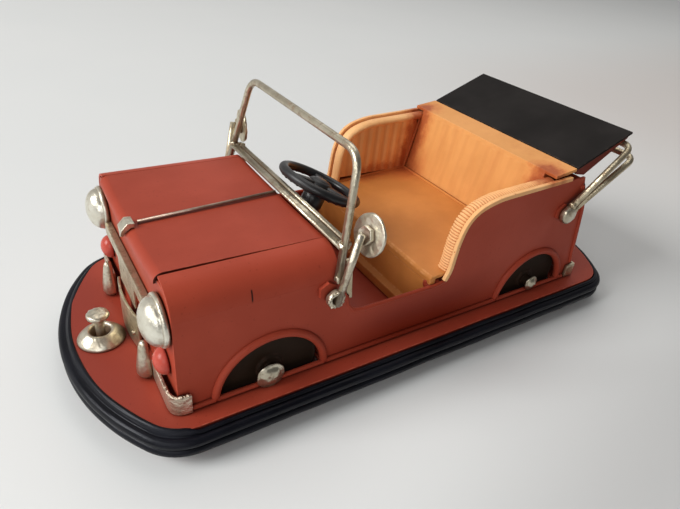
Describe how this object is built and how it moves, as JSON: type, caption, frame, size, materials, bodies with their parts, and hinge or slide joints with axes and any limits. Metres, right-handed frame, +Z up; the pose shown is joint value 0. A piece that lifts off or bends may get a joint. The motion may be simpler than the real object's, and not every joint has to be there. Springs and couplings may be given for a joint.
{
  "type": "model bumper car",
  "caption": "Tin model of a vintage bumper car: rubber-ringed deck, hooded body with lamps and windscreen hoop, bench seat, folded top on side bolts and free wheels under the body.",
  "frame": {"origin": "on the floor under the middle of the car's length and width", "axes": "+X forwards along the car, +Y to the car's left side, +Z up"},
  "size_m": [0.33, 0.15, 0.1204],
  "materials": {
    "red_paint": "satin terracotta red paint on sheet metal, a little worn at the edges",
    "bumper_rubber": "matt black ribbed rubber",
    "marker_paint": "glossy red painted dome",
    "tan_paint": "satin tan paint with darker brown rubbed into the corners",
    "black_paint": "matt black paint",
    "wheel_plastic": "matt black",
    "steering_plastic": "black, half gloss",
    "antique_metal": "dull silver with brown antiquing in the recesses"
  },
  "bodies": {
    "car_body": {"dash_panel": "red_paint", "front_axle": "antique_metal", "front_axle_bearer": "red_paint", "front_bumper_left": "antique_metal", "front_bumper_right": "antique_metal", "front_post": "antique_metal", "grille_lower_plate": "antique_metal", "grille_top_bar": "antique_metal", "headlamp_left": "antique_metal", "headlamp_right": "antique_metal", "hood_ornament": "antique_metal", "hood_panel": "red_paint", "hood_strip": "antique_metal", "marker_light_left": "marker_paint", "marker_light_right": "marker_paint", "mirror_arm_left": "antique_metal", "mirror_arm_right": "antique_metal", "mirror_left": "antique_metal", "mirror_right": "antique_metal", "nose_panel": "red_paint", "overrider_left": "antique_metal", "overrider_right": "antique_metal", "platform": "red_paint", "post_cup": "antique_metal", "rear_axle": "antique_metal", "rear_axle_bearer": "red_paint", "rear_bracket_left": "antique_metal", "rear_bracket_right": "antique_metal", "rear_panel": "red_paint", "rubber_bumper": "bumper_rubber", "seat_back": "tan_paint", "seat_base": "tan_paint", "seat_cushion": "tan_paint", "seat_edging_left": "tan_paint", "seat_edging_right": "tan_paint", "seat_piping_left": "tan_paint", "seat_piping_right": "tan_paint", "seat_side_left": "tan_paint", "seat_side_right": "tan_paint", "side_panel_left": "red_paint", "side_panel_right": "red_paint", "steering_column": "steering_plastic", "windscreen_frame": "antique_metal", "windscreen_stay_left": "antique_metal", "windscreen_stay_right": "antique_metal"},
    "folded_top": {"top_cover": "black_paint", "top_tray": "red_paint", "top_bow_upper": "antique_metal", "top_bow_lower": "antique_metal", "top_bolt_left": "antique_metal", "top_bolt_right": "antique_metal"},
    "steering_wheel": {"steering_wheel": "steering_plastic"},
    "wheel_front_left": {"wheel_front_left": "wheel_plastic"},
    "wheel_front_right": {"wheel_front_right": "wheel_plastic"},
    "wheel_rear_left": {"wheel_rear_left": "wheel_plastic"},
    "wheel_rear_right": {"wheel_rear_right": "wheel_plastic"}
  },
  "joints": [
    {"name": "wheel_front_left_spin", "type": "hinge", "parent": "car_body", "child": "wheel_front_left", "pos_m": [0.087, 0.053, 0.0244], "axis": [0, 1, 0], "continuous": true},
    {"name": "wheel_front_right_spin", "type": "hinge", "parent": "car_body", "child": "wheel_front_right", "pos_m": [0.087, -0.053, 0.0244], "axis": [0, 1, 0], "continuous": true},
    {"name": "wheel_rear_left_spin", "type": "hinge", "parent": "car_body", "child": "wheel_rear_left", "pos_m": [-0.0783, 0.053, 0.0244], "axis": [0, 1, 0], "continuous": true},
    {"name": "wheel_rear_right_spin", "type": "hinge", "parent": "car_body", "child": "wheel_rear_right", "pos_m": [-0.0783, -0.053, 0.0244], "axis": [0, 1, 0], "continuous": true},
    {"name": "steering_turn", "type": "hinge", "parent": "car_body", "child": "steering_wheel", "pos_m": [0.0327, 0, 0.0787], "axis": [-0.435, 0, 0.9004], "continuous": true},
    {"name": "top_swing", "type": "hinge", "parent": "car_body", "child": "folded_top", "pos_m": [-0.0903, 0, 0.0676], "axis": [0, -1, 0], "range_deg": [0, 35]}
  ]
}
